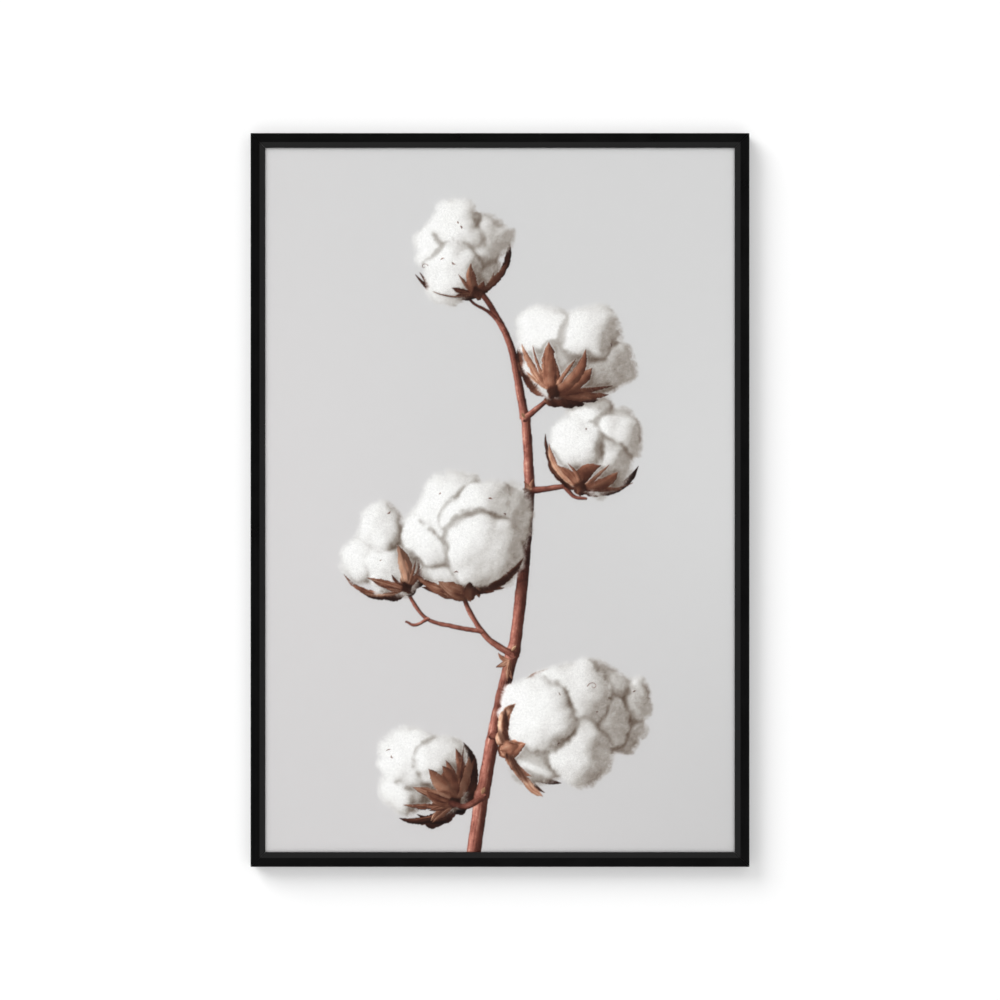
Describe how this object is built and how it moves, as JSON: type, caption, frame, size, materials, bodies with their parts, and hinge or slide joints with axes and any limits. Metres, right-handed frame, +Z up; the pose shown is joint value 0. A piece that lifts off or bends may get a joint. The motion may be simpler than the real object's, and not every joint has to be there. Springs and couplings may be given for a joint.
{
  "type": "framed print",
  "caption": "Black mitred wooden picture frame with a glazed upright print of a cotton stem, a backing board and sawtooth wall hangers.",
  "frame": {"origin": "on the wall plane, at mid width, level with the notches of the two sawtooth hangers that hang on the wall pins", "axes": "+X to the right as seen from the front, +Y into the wall, +Z up; the print faces -Y"},
  "size_m": [0.637, 0.0245, 0.9371],
  "materials": {
    "black_moulding": "satin black paint on fine-grained wood",
    "clear_acrylic": "clear, low-glare",
    "printed_paper": "matt print: a cotton stem on a pale grey ground",
    "hardboard": "brown hardboard, smooth pressed face",
    "zinc_steel": "bright zinc plate",
    "brassed_steel": "brass plate on steel",
    "bumper_rubber": "matt"
  },
  "bodies": {
    "root": {"backing_board": "hardboard", "bumper_left": "bumper_rubber", "bumper_right": "bumper_rubber", "glazing": "clear_acrylic", "hanger_left": "brassed_steel", "hanger_nail_left_1": "brassed_steel", "hanger_nail_left_2": "brassed_steel", "hanger_nail_right_1": "brassed_steel", "hanger_nail_right_2": "brassed_steel", "hanger_right": "brassed_steel", "print_sheet": "printed_paper", "rail_bottom": "black_moulding", "rail_top": "black_moulding", "stile_left": "black_moulding", "stile_right": "black_moulding", "tab_rail_bottom_1": "zinc_steel", "tab_rail_bottom_2": "zinc_steel", "tab_rail_bottom_3": "zinc_steel", "tab_rail_top_1": "zinc_steel", "tab_rail_top_2": "zinc_steel", "tab_rail_top_3": "zinc_steel", "tab_stile_left_1": "zinc_steel", "tab_stile_left_2": "zinc_steel", "tab_stile_left_3": "zinc_steel", "tab_stile_left_4": "zinc_steel", "tab_stile_right_1": "zinc_steel", "tab_stile_right_2": "zinc_steel", "tab_stile_right_3": "zinc_steel", "tab_stile_right_4": "zinc_steel", "vnail_bottom_left_1": "zinc_steel", "vnail_bottom_left_2": "zinc_steel", "vnail_bottom_right_1": "zinc_steel", "vnail_bottom_right_2": "zinc_steel", "vnail_top_left_1": "zinc_steel", "vnail_top_left_2": "zinc_steel", "vnail_top_right_1": "zinc_steel", "vnail_top_right_2": "zinc_steel"}
  },
  "joints": []
}
